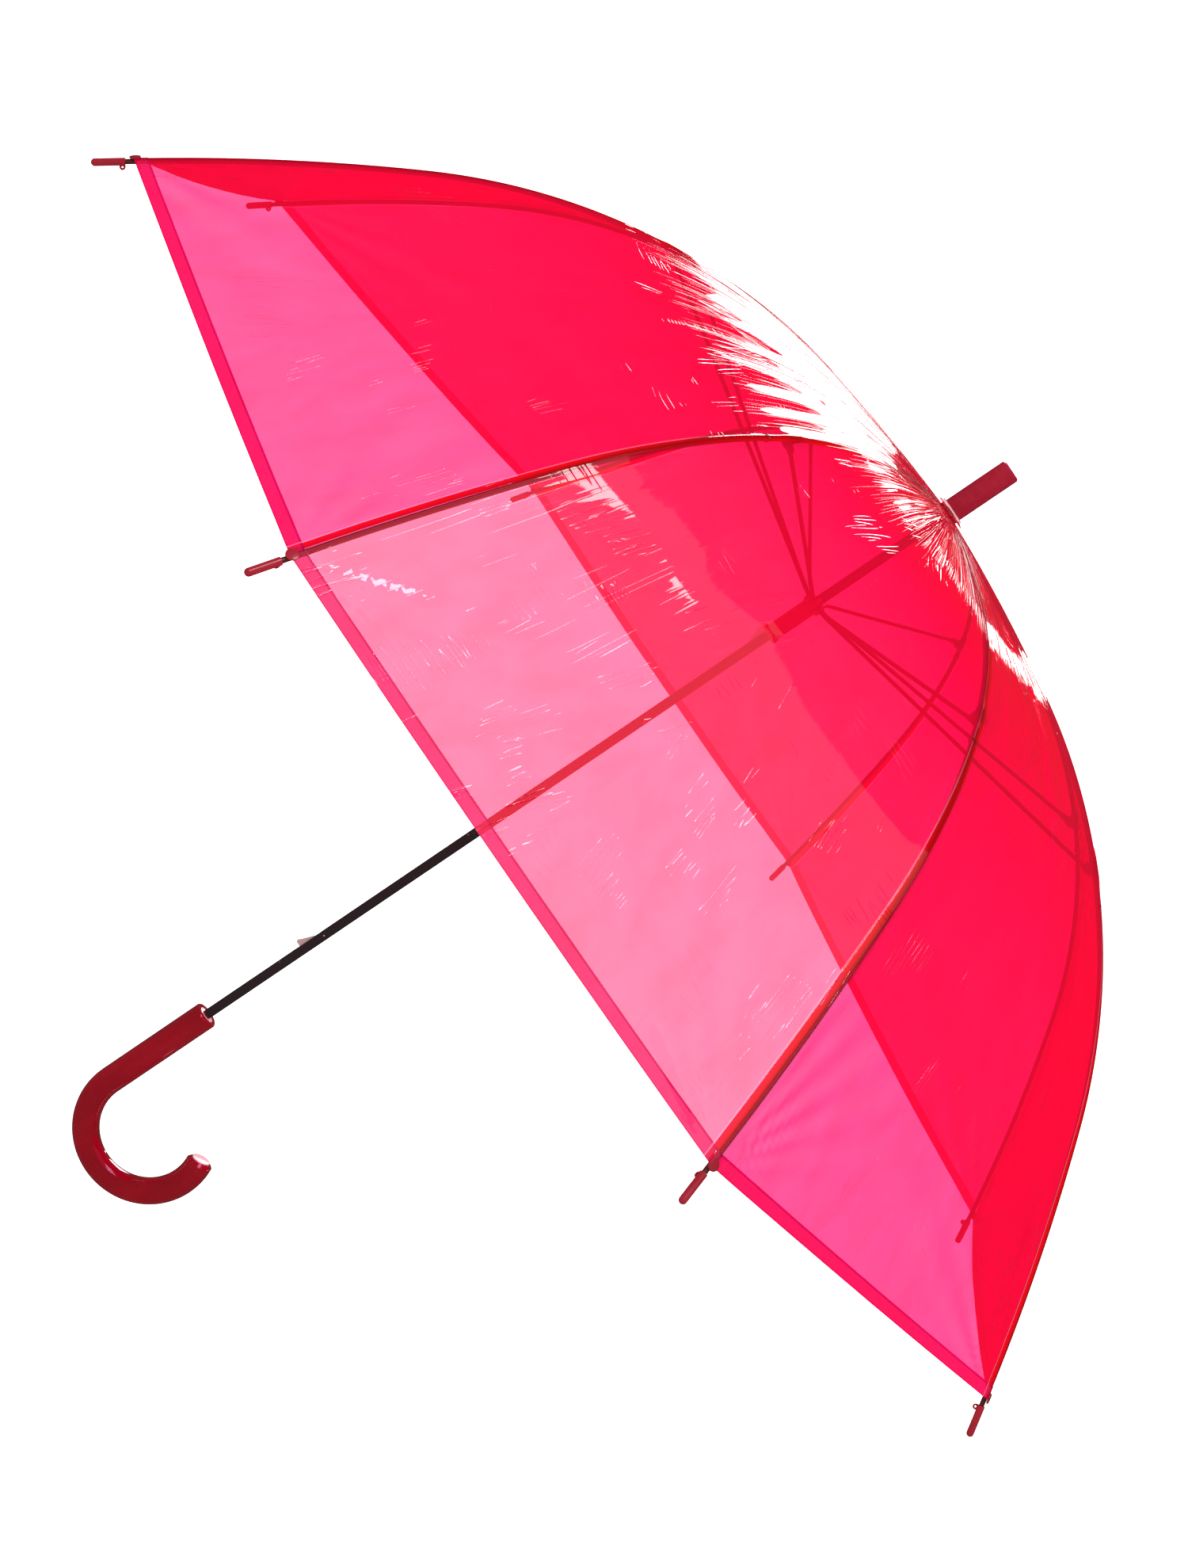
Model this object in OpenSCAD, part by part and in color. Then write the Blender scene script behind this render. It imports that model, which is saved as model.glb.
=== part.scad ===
// Stick umbrella with a clear dome canopy, eight bent wire ribs and a hook handle.
// +Z runs up the shaft towards the ferrule, and the origin is the middle of the straight grip.
// Rib 0 stands at the first azimuth and the others follow anticlockwise, seen from above.

/* [Shaft] */
// Outer diameter of the shaft tube
shaft_d = 7; // [6.8:0.1:7.2]
// Wall thickness of the shaft tube
shaft_wall = 0.8; // [0.6:0.1:0.9]
// Height of the rib pivots above the middle of the grip
notch_z = 676; // [675:1:678]

/* [Handle] */
// Diameter of the handle
handle_d = 20; // [18:0.5:21]
// Length of the straight grip
grip_len = 88; // [80:1:90]
// Radius of the hook's centre line
hook_r = 45; // [40:1:50]
// Angle that the hook turns through
hook_turn = 205; // [180:5:220]
// Depth of the socket that holds the shaft
socket_depth = 58; // [50:1:64]

/* [Ferrule] */
// Diameter of the ferrule
ferrule_d = 16.6; // [15:0.1:18]
// Height of the ferrule's free end above the rib pivots
ferrule_top = 53; // [48:1:60]

/* [Notch and runner] */
// Radius of the ring wire that the ribs hang on
notch_wire_r = 6.5; // [6.4:0.1:6.6]
// Radius of the ring wire that the stretchers turn on
runner_wire_r = 6; // [5.9:0.1:6.1]
// Diameter of both ring wires
ring_wire_d = 1.2; // [1:0.1:1.2]
// Length of the notch below the rib pivots
notch_len = 26; // [22:1:28]
// Diameter of the runner's sleeve
runner_d = 12; // [11.5:0.1:12.4]
// Length of the runner below the stretcher pivots
runner_len = 38; // [36:1:38]
// Distance of the stretcher pivots below the rib pivots, canopy open
runner_drop = 107.5; // [106:0.5:108]

/* [Ribs] */
// Diameter of the rib wire
rib_d = 3.4; // [3:0.1:3.5]
// Slope of a rib where it leaves the notch, in degrees
rib_slope = 2.7; // [1:0.1:4]
// Length of the nearly straight stretch by the notch
crown_len = 138.5; // [130:0.5:145]
// Bend radius of that stretch
crown_rad = 1475; // [1200:5:1800]
// Length of the strongly bent stretch
bend_len = 290; // [280:1:300]
// Bend radius of that stretch
bend_rad = 420; // [400:5:440]
// Length of the stretch by the rim
rim_len = 181; // [170:1:190]
// Bend radius of that stretch
rim_rad = 1425; // [1200:5:1800]
// Distance along the rib from its pivot to the stretcher joint
joint_s = 259; // [255:1:262]
// Distance along the rib from its pivot to its bending point
flex_s = 284; // [280:1:290]
// How far the stretcher pin lies inside the rib wire
pin_offset = 4.5; // [4.2:0.1:5]

/* [Stretchers] */
// Diameter of the stretcher wire
stretcher_d = 2.8; // [2.4:0.1:2.8]
// Sideways offset of a stretcher from its rib, so that they pass each other
side_step = 3.6; // [3.6:0.1:3.9]

/* [Tips] */
// Diameter of a tip cap
tip_d = 4.8; // [4.4:0.1:5]
// Length of a tip cap
tip_len = 21; // [19:0.5:23]
// Bare wire between the canopy's corner and the cap
bare_wire = 5; // [4:0.5:6]

/* [Canopy] */
// Thickness of the canopy film as a solid
film_t = 0.4; // [0.3:0.05:0.4]
// Distance from the rib's centre line to the middle of the film
film_gap = 2.9; // [2.9:0.1:3.2]

/* [Catches] */
// Thickness of the spring catches
catch_t = 1.4; // [1.2:0.1:1.4]
// Distance that a catch stands out from the shaft's axis
catch_reach = 8; // [7.6:0.1:8.2]
// Length of a catch from its pin to its holding face
catch_len = 20; // [19:0.5:21]

/* [Hidden] */
$fn = 48;
RIBS = 8;
RIB_STEP = 360 / RIBS;
FIRST_AZIMUTH = RIB_STEP / 2;
CATCH_AZIMUTH = 180;

// Heights that follow from the driving ones
mouth_z = grip_len / 2;
hook_z = -grip_len / 2;
runner_z = notch_z - runner_drop;
shaft_bottom = mouth_z - socket_depth;
shaft_top = notch_z + 40;
washer_z = notch_z + 4.6;
washer_t = 1.2;
ferrule_z = washer_z + washer_t;

// The notch: a slotted crown over a fluted skirt
notch_crown_r = 8.6;
notch_skirt_r = 7.6;
notch_crown_half = 4;
rib_blade_t = 1.2;
rib_blade_len = 9;
rib_blade_h = 3;
rib_eye_r = 1.9;
rib_hole_d = ring_wire_d + 0.2;
rib_groove_r = 6.3;

// The runner: a slotted crown, a sleeve and a flange
runner_crown_r = 7.8;
runner_crown_half = 3.5;
runner_flange_r = 7;
runner_flange_t = 4;
runner_bore_d = shaft_d + 0.16;
str_blade_t = 1;
str_blade_len = 8;
str_eye_r = 1.7;
str_hole_d = ring_wire_d + 0.18;
slot_play = 0.3;

// Rib stations: [radius, height above the pivots, slope below the horizontal]
rib_start = [notch_wire_r, 0, rib_slope];
rib_bend = arc_end(rib_start, crown_len, crown_rad);
rib_rim = arc_end(rib_bend, bend_len, bend_rad);
rib_len = crown_len + bend_len + rim_len;
knuckle_r = 2;
knuckle_half = 1.8;
knuckle_gap = 0.3;

// The wire is drawn a little thinner with every stretch, which laps into the one before
draw_step = 0.04;
lap = 1;

// The clip, its lug and its stud
clip_len = 13;
clip_r = 2.3;
lug_len = 8;
lug_t = 3.2;
stud_r = 0.9;
stud_play = 0.08;

// The stretcher's pin on the clip, in the rib's plane, and the line from the runner to it
joint_at = rib_at(joint_s);
pin_at = [joint_at[0] - pin_offset * sin(joint_at[2]), joint_at[1] - pin_offset * cos(joint_at[2])];
reach_x = pin_at[0] - runner_wire_r;
reach_z = pin_at[1] + runner_drop;
stretcher_len = sqrt(reach_x * reach_x + reach_z * reach_z);
stretcher_rise = atan2(reach_z, reach_x);

// Catch pins and the stop pin, as heights
top_catch_z = runner_z - runner_len - 1 - catch_len;
bottom_catch_z = 150;
stop_pin_z = runner_z + runner_crown_half + 1.6;
catch_pin_d = 1.2;
stop_pin_d = 2.4;
window_low = runner_len - runner_flange_t;
window_high = 10;

// The far end of an arc that starts at p with its slope, bending downwards
function arc_end(p, len, rad) =
    let (a = p[2] + len / rad * 180 / PI)
    [p[0] + rad * (sin(a) - sin(p[2])), p[1] + rad * (cos(a) - cos(p[2])), a];

// A station at distance s along the rib from its pivot
function rib_at(s) =
    s <= crown_len ? arc_end(rib_start, s, crown_rad)
    : s <= crown_len + bend_len ? arc_end(rib_bend, s - crown_len, bend_rad)
    : arc_end(rib_rim, s - crown_len - bend_len, rim_rad);

function azimuth(i) = FIRST_AZIMUTH + i * RIB_STEP;

// A film point: s along the rib, u across the gore from this rib (0) to the next (1), v off the rib
function film_point(s, u, side, v) =
    let (p = rib_at(s), q = p[0] + v * sin(p[2]))
    [q * (1 - u * (1 - cos(RIB_STEP))), side * q * u * sin(RIB_STEP), p[1] + v * cos(p[2])];

module on_rib(i) {
    rotate([0, 0, azimuth(i)])
        translate([0, 0, notch_z])
            children();
}

// Local x runs along the rib at distance s, and local z points out of the dome
module at_rib(s) {
    p = rib_at(s);
    translate([p[0], 0, p[1]])
        rotate([0, p[2], 0])
            children();
}

// A round bar of diameter d along an arc that starts at station p
module bar_arc(p, len, rad, d) {
    turn = len / rad * 180 / PI;
    translate([p[0] - rad * sin(p[2]), 0, p[1] - rad * cos(p[2])])
        rotate([90, 0, 0])
            rotate([0, 0, 90 - p[2] - turn])
                rotate_extrude(angle = turn)
                    translate([rad, 0])
                        circle(d = d);
}

// A round bar along x from x0 to x1
module bar(x0, x1, d) {
    translate([x0, 0, 0])
        rotate([0, 90, 0])
            cylinder(d = d, h = x1 - x0);
}

// A disc or pin across the rib's plane, between two sideways positions
module cross_disc(r, y0, y1) {
    translate([0, y1, 0])
        rotate([90, 0, 0])
            cylinder(r = r, h = y1 - y0);
}

module ring(r, d) {
    rotate_extrude()
        translate([r, 0])
            circle(d = d);
}

module tube(r_out, r_in, z0, z1) {
    translate([0, 0, z0])
        difference() {
            cylinder(r = r_out, h = z1 - z0);
            translate([0, 0, -1])
                cylinder(r = r_in, h = z1 - z0 + 2);
        }
}

// Radial slots at every rib azimuth, from radius r_in outwards
module rib_slots(r_in, width, z0, z1) {
    for (i = [0 : RIBS - 1])
        rotate([0, 0, azimuth(i)])
            translate([r_in, -width / 2, z0])
                cube([notch_crown_r, width, z1 - z0]);
}

module catch_slot(z) {
    rotate([0, 0, CATCH_AZIMUTH])
        translate([0, -catch_t / 2 - 0.2, z])
            cube([shaft_d, catch_t + 0.4, catch_len + 2]);
}

module pin_across(z, d, len) {
    translate([0, len / 2, z])
        rotate([90, 0, 0])
            cylinder(d = d, h = len);
}

module shaft() {
    color([0.12, 0.1, 0.1])
        difference() {
            tube(shaft_d / 2, shaft_d / 2 - shaft_wall, shaft_bottom, shaft_top);
            catch_slot(top_catch_z);
            catch_slot(bottom_catch_z - catch_len - 2);
            pin_across(top_catch_z, catch_pin_d, 2 * shaft_d);
            pin_across(bottom_catch_z, catch_pin_d, 2 * shaft_d);
            pin_across(stop_pin_z, stop_pin_d, 2 * shaft_d);
        }
}

module shaft_pins() {
    color([0.6, 0.6, 0.6]) {
        pin_across(top_catch_z, catch_pin_d, shaft_d - 0.2);
        pin_across(bottom_catch_z, catch_pin_d, shaft_d - 0.2);
        pin_across(stop_pin_z, stop_pin_d, shaft_d + 3);
    }
}

// A flat catch that turns on a pin inside the shaft; dir is 1 when its nose points up
module catch_plate(dir) {
    nose = dir * catch_len;
    rotate([0, 0, CATCH_AZIMUTH])
        difference() {
            union() {
                cross_disc(1.4, -catch_t / 2, catch_t / 2);
                rotate([90, 0, 0])
                    translate([0, 0, -catch_t / 2])
                        linear_extrude(catch_t)
                            polygon([
                                [1.4, 0],
                                [catch_reach - 0.8, nose * 0.84],
                                [catch_reach, nose * 0.9],
                                [catch_reach, nose * 0.95],
                                [catch_reach - 0.8, nose],
                                [3, nose],
                                [-1.4, 0]
                            ]);
            }
            cross_disc(catch_pin_d / 2 + 0.05, -catch_t, catch_t);
        }
}

module top_catch() {
    color([0.75, 0.72, 0.68])
        translate([0, 0, top_catch_z])
            catch_plate(1);
}

module bottom_catch() {
    color([0.75, 0.65, 0.62])
        translate([0, 0, bottom_catch_z])
            catch_plate(-1);
}

module handle() {
    draft = 0.1;
    color([0.7, 0, 0.1])
        difference() {
            union() {
                translate([0, 0, hook_z])
                    cylinder(d = handle_d, h = grip_len - 1);
                translate([0, 0, mouth_z - 1])
                    cylinder(d1 = handle_d, d2 = handle_d - 1.4, h = 1);
                translate([hook_r, 0, hook_z])
                    rotate([90, 0, 0])
                        rotate([0, 0, 180])
                            rotate_extrude(angle = hook_turn)
                                translate([hook_r, 0])
                                    circle(d = handle_d - draft);
                translate([hook_r, 0, hook_z])
                    rotate([0, -(hook_turn - 180), 0])
                        translate([hook_r, 0, 0])
                            cylinder(d1 = handle_d - 2 * draft, d2 = handle_d - 5, h = 2.5);
            }
            translate([0, 0, mouth_z - 2.5])
                cylinder(r = 6.5, h = 5);
            translate([0, 0, shaft_bottom])
                cylinder(d = shaft_d, h = grip_len);
        }
}

module ferrule() {
    edge = 1.2;
    color([0.66, 0.06, 0.17])
        difference() {
            union() {
                translate([0, 0, ferrule_z])
                    cylinder(d = ferrule_d, h = notch_z + ferrule_top - ferrule_z - edge);
                translate([0, 0, notch_z + ferrule_top - edge])
                    cylinder(d1 = ferrule_d, d2 = ferrule_d - 2 * edge, h = edge);
            }
            translate([0, 0, ferrule_z - 1])
                cylinder(d = shaft_d, h = shaft_top - ferrule_z + 1);
        }
}

module crown_washer() {
    color([1, 0.75, 0.78])
        tube(10, shaft_d / 2, washer_z, washer_z + washer_t);
}

module crown_film() {
    color([0.95, 0.2, 0.4])
        tube(10.5, shaft_d / 2, notch_z + notch_crown_half, washer_z);
}

module top_notch() {
    slot_top = rib_eye_r + 0.2;
    color([0.75, 0.1, 0.15])
        translate([0, 0, notch_z])
            difference() {
                union() {
                    translate([0, 0, -notch_crown_half])
                        cylinder(r = notch_crown_r, h = 2 * notch_crown_half);
                    translate([0, 0, -notch_len])
                        cylinder(r = notch_skirt_r, h = notch_len);
                }
                translate([0, 0, -notch_len - 1])
                    cylinder(d = shaft_d, h = notch_len + 10);
                rib_slots(notch_wire_r - rib_eye_r - 0.2, rib_blade_t + slot_play, -10, slot_top);
                rib_slots(rib_groove_r, rib_d + 0.6, -notch_len - 1, 0.5 - rib_blade_len);
                ring(notch_wire_r, ring_wire_d + 0.04);
            }
}

module notch_ring_wire() {
    color([0.8, 0.8, 0.8])
        translate([0, 0, notch_z])
            ring(notch_wire_r, ring_wire_d);
}

module runner() {
    color([0.75, 0.1, 0.15])
        translate([0, 0, runner_z])
            difference() {
                union() {
                    translate([0, 0, -runner_crown_half])
                        cylinder(r = runner_crown_r, h = 2 * runner_crown_half);
                    translate([0, 0, -runner_len])
                        cylinder(d = runner_d, h = runner_len);
                    translate([0, 0, -runner_len])
                        cylinder(r = runner_flange_r, h = runner_flange_t);
                }
                translate([0, 0, -runner_len - 1])
                    cylinder(d = runner_bore_d, h = runner_len + 10);
                rib_slots(runner_wire_r - str_eye_r - 0.1, str_blade_t + slot_play, -2, 10);
                ring(runner_wire_r, ring_wire_d + 0.04);
                rotate([0, 0, CATCH_AZIMUTH])
                    translate([0, -catch_t / 2 - 0.4, -window_low])
                        cube([runner_d, catch_t + 0.8, window_low - window_high]);
            }
}

module runner_ring_wire() {
    color([0.8, 0.8, 0.8])
        translate([0, 0, runner_z])
            ring(runner_wire_r, ring_wire_d);
}

// The part of a rib from the notch to its bending point
module rib_inner(i) {
    wire_start = rib_at(rib_blade_len);
    lap_start = arc_end(rib_bend, -lap, bend_rad);
    color([0.3, 0.06, 0.05])
        on_rib(i) {
            at_rib(0)
                difference() {
                    union() {
                        cross_disc(rib_eye_r, -rib_blade_t / 2, rib_blade_t / 2);
                        translate([0, -rib_blade_t / 2, -rib_blade_h / 2])
                            cube([rib_blade_len + 1, rib_blade_t, rib_blade_h]);
                    }
                    cross_disc(rib_hole_d / 2, -rib_blade_t, rib_blade_t);
                }
            bar_arc(wire_start, crown_len - rib_blade_len, crown_rad, rib_d);
            bar_arc(lap_start, flex_s - crown_len + lap, bend_rad, rib_d - draw_step);
            at_rib(flex_s)
                cross_disc(knuckle_r, -knuckle_half, knuckle_half);
        }
}

// The part of a rib from its bending point to its tip
module rib_outer(i) {
    flex = rib_at(flex_s);
    lap_start = arc_end(rib_rim, -lap, rim_rad);
    color([0.3, 0.06, 0.05])
        on_rib(i) {
            difference() {
                bar_arc(flex, crown_len + bend_len - flex_s, bend_rad, rib_d);
                at_rib(flex_s)
                    cross_disc(knuckle_r + knuckle_gap, -rib_d, rib_d);
            }
            bar_arc(lap_start, rim_len + lap, rim_rad, rib_d - draw_step);
            at_rib(rib_len)
                bar(-lap, bare_wire + tip_len - 6, rib_d - 2 * draw_step);
        }
}

// The clip crimped round a rib, with the lug and the headed stud that carry the stretcher
module rib_clip(i) {
    clip_start = rib_at(joint_s - clip_len / 2);
    eye_half = 1;
    color([0.32, 0.08, 0.07])
        on_rib(i)
            difference() {
                union() {
                    bar_arc(clip_start, clip_len, bend_rad, 2 * clip_r);
                    at_rib(joint_s) {
                        translate([-lug_len / 2, -lug_t / 2, -pin_offset])
                            cube([lug_len, lug_t, pin_offset]);
                        translate([0, 0, -pin_offset]) {
                            cross_disc(2.6, -lug_t / 2, lug_t / 2);
                            cross_disc(stud_r, 0, side_step + eye_half + 0.4);
                            cross_disc(1.9, side_step + eye_half + 0.2, side_step + eye_half + 1.2);
                        }
                    }
                }
                bar_arc(rib_at(joint_s - clip_len), 2 * clip_len, bend_rad, rib_d);
            }
}

// The cap on a rib's end, with the lug that the canopy's corner is tied to
module tip(i) {
    blind = tip_len - 6;
    color([0.6, 0.1, 0.16])
        on_rib(i)
            at_rib(rib_len)
                translate([bare_wire, 0, 0])
                    difference() {
                        union() {
                            bar(0, tip_len - tip_d / 2, tip_d);
                            translate([tip_len - tip_d / 2, 0, 0])
                                sphere(d = tip_d);
                            translate([1.9, 0, -3.2])
                                cross_disc(1.9, -0.8, 0.8);
                            translate([0, -0.8, -3.2])
                                cube([3.8, 1.6, 3.2]);
                        }
                        bar(-1, blind, rib_d);
                        translate([1.9, 0, -3.4])
                            cross_disc(0.7, -2, 2);
                    }
}

// A wire strut from the runner to the rib clip, stepped sideways to lie beside the rib
module stretcher(i) {
    step_x = 22;
    step_dx = step_x - str_blade_len;
    step_len = sqrt(step_dx * step_dx + side_step * side_step);
    eye_half = 1;
    eye_r = 2.3;
    flat_len = 6;
    bend_d = stretcher_d + 0.2;
    color([0.35, 0.08, 0.07])
        on_rib(i)
            translate([runner_wire_r, 0, -runner_drop])
                rotate([0, -stretcher_rise, 0])
                    difference() {
                        union() {
                            cross_disc(str_eye_r, -str_blade_t / 2, str_blade_t / 2);
                            translate([0, -str_blade_t / 2, -1.2])
                                cube([str_blade_len, str_blade_t, 2.4]);
                            translate([str_blade_len, 0, 0]) {
                                sphere(d = bend_d);
                                rotate([0, 0, atan2(side_step, step_dx)])
                                    bar(0, step_len, stretcher_d);
                            }
                            translate([step_x, side_step, 0])
                                sphere(d = bend_d);
                            translate([0, side_step, 0]) {
                                bar(step_x, stretcher_len - flat_len, stretcher_d);
                                translate([stretcher_len - flat_len - 1, -eye_half, -1.8])
                                    cube([flat_len + 1, 2 * eye_half, 3.6]);
                                translate([stretcher_len, 0, 0])
                                    cross_disc(eye_r, -eye_half, eye_half);
                            }
                        }
                        cross_disc(str_hole_d / 2, -str_blade_t, str_blade_t);
                        translate([stretcher_len, side_step, 0])
                            cross_disc(stud_r + stud_play, -2 * eye_half, 2 * eye_half);
                    }
}

// One rib's share of the canopy: a film shell from the middle of one gore to the middle of the next
module canopy_panel(i) {
    film_start = 6;
    edge_gap = 0.2;
    stations = concat(
        [for (k = [0 : 2]) film_start + k * (crown_len - film_start) / 3],
        [for (k = [0 : 9]) crown_len + k * bend_len / 10],
        [for (k = [0 : 4]) crown_len + bend_len + k * rim_len / 4]
    );
    across = 4;
    rows = len(stations);
    points = [
        for (v = [film_gap - film_t / 2, film_gap + film_t / 2], s = stations, j = [0 : across])
            let (
                edge = 0.5 - edge_gap / (2 * sin(RIB_STEP / 2) * rib_at(s)[0]),
                u = edge * abs(j - across / 2) / (across / 2)
            )
            film_point(s, u, sign(j - across / 2), v)
    ];
    layer = rows * (across + 1);
    function at(v, k, j) = v * layer + k * (across + 1) + j;
    sheets = [
        for (k = [0 : rows - 2], j = [0 : across - 1]) each [
            [at(0, k, j), at(0, k + 1, j), at(0, k + 1, j + 1)],
            [at(0, k, j), at(0, k + 1, j + 1), at(0, k, j + 1)],
            [at(1, k, j), at(1, k + 1, j + 1), at(1, k + 1, j)],
            [at(1, k, j), at(1, k, j + 1), at(1, k + 1, j + 1)]
        ]
    ];
    sides = [
        for (k = [0 : rows - 2]) each [
            [at(0, k, 0), at(1, k, 0), at(1, k + 1, 0)],
            [at(0, k, 0), at(1, k + 1, 0), at(0, k + 1, 0)],
            [at(0, k, across), at(1, k + 1, across), at(1, k, across)],
            [at(0, k, across), at(0, k + 1, across), at(1, k + 1, across)]
        ]
    ];
    ends = [
        for (j = [0 : across - 1]) each [
            [at(0, 0, j), at(1, 0, j + 1), at(1, 0, j)],
            [at(0, 0, j), at(0, 0, j + 1), at(1, 0, j + 1)],
            [at(0, rows - 1, j), at(1, rows - 1, j), at(1, rows - 1, j + 1)],
            [at(0, rows - 1, j), at(1, rows - 1, j + 1), at(0, rows - 1, j + 1)]
        ]
    ];
    color([1, 0.35, 0.55, 0.6])
        on_rib(i)
            polyhedron(points = points, faces = concat(sheets, sides, ends), convexity = 4);
}

shaft();
handle();
ferrule();
top_notch();
notch_ring_wire();
crown_washer();
crown_film();
shaft_pins();
top_catch();
bottom_catch();
runner();
runner_ring_wire();
for (i = [0 : RIBS - 1]) {
    rib_inner(i);
    rib_outer(i);
    rib_clip(i);
    tip(i);
    stretcher(i);
    canopy_panel(i);
}
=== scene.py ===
"""Looks of a dome umbrella with a clear tinted film canopy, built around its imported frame."""

import math
import random

import bmesh
import bpy
import numpy as np
from bpy.props import FloatProperty, FloatVectorProperty, IntProperty, PointerProperty
from bpy.types import Operator, Panel, PropertyGroup
from mathutils import Matrix, Vector


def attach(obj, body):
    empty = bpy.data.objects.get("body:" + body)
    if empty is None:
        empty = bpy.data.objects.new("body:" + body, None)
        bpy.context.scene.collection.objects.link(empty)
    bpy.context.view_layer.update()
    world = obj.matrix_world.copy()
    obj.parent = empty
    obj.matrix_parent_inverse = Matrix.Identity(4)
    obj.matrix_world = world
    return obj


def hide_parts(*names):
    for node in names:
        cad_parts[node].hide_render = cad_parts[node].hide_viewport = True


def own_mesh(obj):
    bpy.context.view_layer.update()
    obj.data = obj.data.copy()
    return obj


bl_info = {
    "name": "Dome Umbrella",
    "version": (1, 0, 0),
    "blender": (4, 5, 0),
    "location": "View3D > Sidebar > Umbrella",
    "description": "Film canopy, trims, finishes and stage of a dome umbrella",
    "category": "Object",
}

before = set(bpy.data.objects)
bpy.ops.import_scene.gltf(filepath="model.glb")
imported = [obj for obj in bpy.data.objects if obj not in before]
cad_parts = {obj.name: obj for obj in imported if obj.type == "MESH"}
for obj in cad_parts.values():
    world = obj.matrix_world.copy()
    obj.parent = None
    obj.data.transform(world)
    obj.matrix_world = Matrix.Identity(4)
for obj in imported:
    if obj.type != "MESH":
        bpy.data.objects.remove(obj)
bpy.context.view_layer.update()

# The frame that the film hangs on, in metres and radians
RIBS = 8
RIB_STEP = 2 * math.pi / RIBS
FIRST_AZIMUTH = RIB_STEP / 2
NOTCH_Z = 0.676
NOTCH_WIRE_R = 0.0065
RIB_SLOPE = math.radians(2.7)
RIB_ARCS = ((0.1385, 1.475), (0.290, 0.420), (0.181, 1.425))
RIB_LENGTH = sum(length for length, _ in RIB_ARCS)
JOINT_S = 0.259
FLEX_S = 0.284

# The weld runs from one side of its rib to the other, between these distances along the rib
WELD_CROSSING = (0.12, 0.56)
WELD_SWING = 0.0042
HEM_RELIEF = 0.0003

# The film's mesh stands closer within this distance of a rib
NEAR_RIB = 0.008
NEAR_COLUMNS = 7
NARROW_HALF = 0.02

# How far the film's folds reach from a rib, from the crown and from a corner
HELD_BY_RIB = 0.011
FOLD_REACH = 0.30
FOLD_FULL_WIDTH = 0.14
CORNER_REACH = 0.13
CLIP_REACH = 0.016
CLIP_HALF_WIDTH = 0.008

# The film's finish: relief depths in metres, and its reflectance square on and at a low angle
FOLD_BUMP = 0.0003
DENT_BUMP = 0.0003
WAVE_BUMP = 0.0012
GRAIN_BUMP = 0.000004
WELD_BUMP = 0.0003
SQUARE_REFLECTANCE = 0.075
LOW_ANGLE_REFLECTANCE = 0.6
GLOSS_ROUGHNESS = 0.02

# How the tint deepens as the film tilts, up to a least facing share
LEAST_FACING = 0.24
WAY_POWER = -1.45

# Share of the scattered light that the film sends back, and what welds add to haze and thickness
BACK_SHARE = 0.14
WELD_HAZE = 0.27
HEM_HAZE = 0.16
HEM_EDGE_HAZE = 0.10
WELD_THICKNESS = 3.0
HEM_THICKNESS = 1.6

WELD_GLOW = (1.0, 0.0, 0.008)
HEM_GLOW = (0.92, 0.008, 0.085)
HEM_EDGE_GLOW = (0.70, 0.0, 0.09)
HEM_SPECKLE_GLOW = (0.78, 0.0, 0.05)
# Painted highlight: colour of a thin pale pink line along one edge of each weld band, standing in
# for the weld's edge catching light
WELD_EDGE_PAINTED_HIGHLIGHT = (0.95, 0.22, 0.32)

STEEL = (0.62, 0.61, 0.60)
WORN_PAINT = (0.20, 0.12, 0.11)
CATCH_PLASTIC = (0.46, 0.34, 0.32)

# The crown's gather: a crimped ring of film on the notch's top face
GATHER_INNER_R = 0.0060
GATHER_OUTER_R = 0.0132
GATHER_TURNS = 240
GATHER_ROWS = 14
GATHER_Z = NOTCH_Z + 0.0042 + 0.0001
GATHER_DROOP = 0.0012
GATHER_CRIMP = 0.0007
GATHER_RAGGED = 0.0005

# The handle's mouth, and the hook's arc up to its cut end
MOUTH_Z = 0.044
HOOK_R = 0.045
HOOK_Z = -0.044
HOOK_END_TURN = math.radians(205 - 180)

# The tab between a canopy corner and its tip cap
TAB_R = 0.0036
TAB_THICKNESS = 0.0009
TAB_RISE = 0.0006
TAB_REACH = 0.0028
TAB_SET_BACK = 0.0012

# Lamps: name, azimuth, elevation, distance, size and radiance
LAMPS = (
    ("overhead", -72, 60, 3.0, (2.2, 2.0), 0.35),
    ("key", -115, 56, 3.0, (0.85, 1.5), 7.0),
    ("window", 103, 24, 4.0, (1.70, 1.55), 8.0),
    ("strip", 80, 16, 4.0, (0.14, 0.6), 12.0),
)
LAMP_AIM = Vector((0, 0, 0.5))
CAMERA_PLACE = Vector((-0.0839, -1.8680, 0.700))
CAMERA_RIGHT = Vector((0.56564, 0.11272, 0.81691))
CAMERA_DOWN = Vector((0.82290, -0.14160, -0.55025))
SENSOR_WIDTH = 36.0


def azimuth(rib):
    """The way a rib points, as an angle about the shaft."""
    return FIRST_AZIMUTH + rib * RIB_STEP


def rib_line(s):
    """Radius, height above the rib pivots and slope of the rib wire at distances s."""
    s = np.asarray(s, float)
    radius, height, slope = np.zeros_like(s), np.zeros_like(s), np.zeros_like(s)
    r, z, a, start = NOTCH_WIRE_R, 0.0, RIB_SLOPE, 0.0
    last = len(RIB_ARCS) - 1
    for k, (length, bend) in enumerate(RIB_ARCS):
        inside = (s >= start - 1e-9) & ((s < start + length) | (k == last))
        turn = a + (s - start) / bend
        radius = np.where(inside, r + bend * (np.sin(turn) - math.sin(a)), radius)
        height = np.where(inside, z + bend * (np.cos(turn) - math.cos(a)), height)
        slope = np.where(inside, turn, slope)
        end = a + length / bend
        r += bend * (math.sin(end) - math.sin(a))
        z += bend * (math.cos(end) - math.cos(a))
        a, start = end, start + length
    return radius, height, slope


def smooth(x, low, high):
    """Rises from 0 at low to 1 at high, with soft ends."""
    t = np.clip((x - low) / (high - low), 0, 1)
    return t * t * (3 - 2 * t)


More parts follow.
